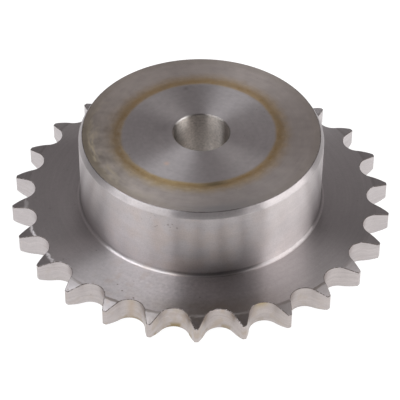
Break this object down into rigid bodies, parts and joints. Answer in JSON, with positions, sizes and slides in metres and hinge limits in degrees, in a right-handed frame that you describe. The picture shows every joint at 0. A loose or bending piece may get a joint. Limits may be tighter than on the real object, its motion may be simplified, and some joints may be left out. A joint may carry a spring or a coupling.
{
  "type": "chain sprocket",
  "caption": "Roller-chain sprocket: toothed steel plate with side-relieved teeth, a round hub on one side and a plain pilot bore.",
  "frame": {"origin": "centre of the bore at the plate's back face, which is the face it lies on", "axes": "+Z along the bore axis towards the hub's nose; a tooth gap is centred on +X and a tooth on +Y"},
  "size_m": [0.1094, 0.11, 0.03],
  "materials": {
    "machined_steel": "bare turned and hobbed carbon steel, satin, with an oil stain ring on the hub's face"
  },
  "bodies": {
    "root": {"sprocket": "machined_steel"}
  },
  "joints": []
}
